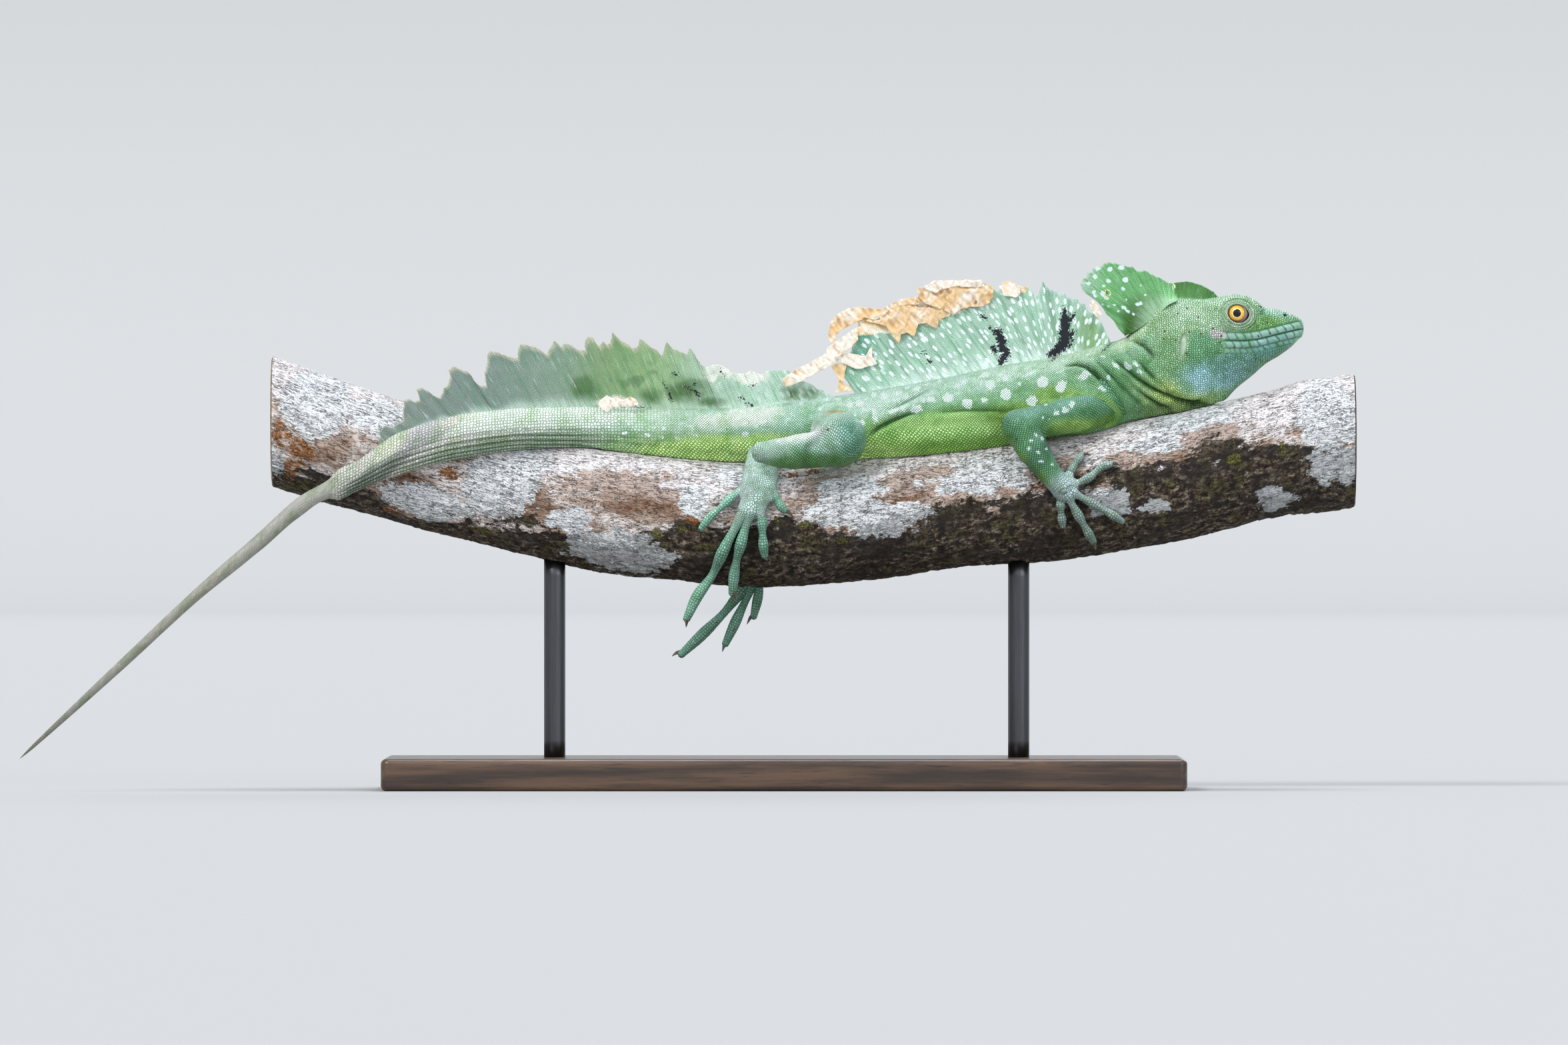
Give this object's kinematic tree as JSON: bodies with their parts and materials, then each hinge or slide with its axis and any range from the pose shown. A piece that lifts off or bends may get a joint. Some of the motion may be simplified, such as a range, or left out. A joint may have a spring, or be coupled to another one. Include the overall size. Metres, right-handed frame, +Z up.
{
  "type": "green basilisk display model",
  "caption": "Still, life-size model of a male green basilisk lying along a cut branch, with head crests, back sail and tail fin, held by rods above a flat base.",
  "frame": {"origin": "middle of the underside of the stand's base, on the surface it stands on", "axes": "+X along the branch towards the snout, +Y to the animal's left, +Z up"},
  "size_m": [0.498, 0.112, 0.197],
  "materials": {
    "skin_green": "painted scaly skin, satin",
    "skin_pale": "painted thin skin of the crests, sail and fin, satin",
    "skin_grey": "painted grey-brown tail skin, satin",
    "eye": "glossy",
    "bark": "rough bark with lichen, sawn ends",
    "stand_wood": "dark satin lacquer",
    "stand_metal": "satin black"
  },
  "bodies": {
    "root": {"head": "skin_green", "eye_left": "eye", "eye_right": "eye", "head_crest": "skin_pale", "brow_crest": "skin_pale", "neck": "skin_green", "torso": "skin_green", "back_sail": "skin_pale", "tail_base": "skin_green", "tail_upper": "skin_green", "tail_lower": "skin_green", "tail_sail": "skin_pale", "tail_hanging": "skin_grey", "tail_tip": "skin_grey", "upper_arm_left": "skin_green", "forearm_left": "skin_green", "hand_left": "skin_green", "thigh_left": "skin_green", "shank_left": "skin_green", "foot_left": "skin_green", "upper_arm_right": "skin_green", "forearm_right": "skin_green", "hand_right": "skin_green", "thigh_right": "skin_green", "shank_right": "skin_green", "foot_right": "skin_green", "perch": "bark", "stand_base": "stand_wood", "stand_rod_front": "stand_metal", "stand_rod_back": "stand_metal"}
  },
  "joints": []
}
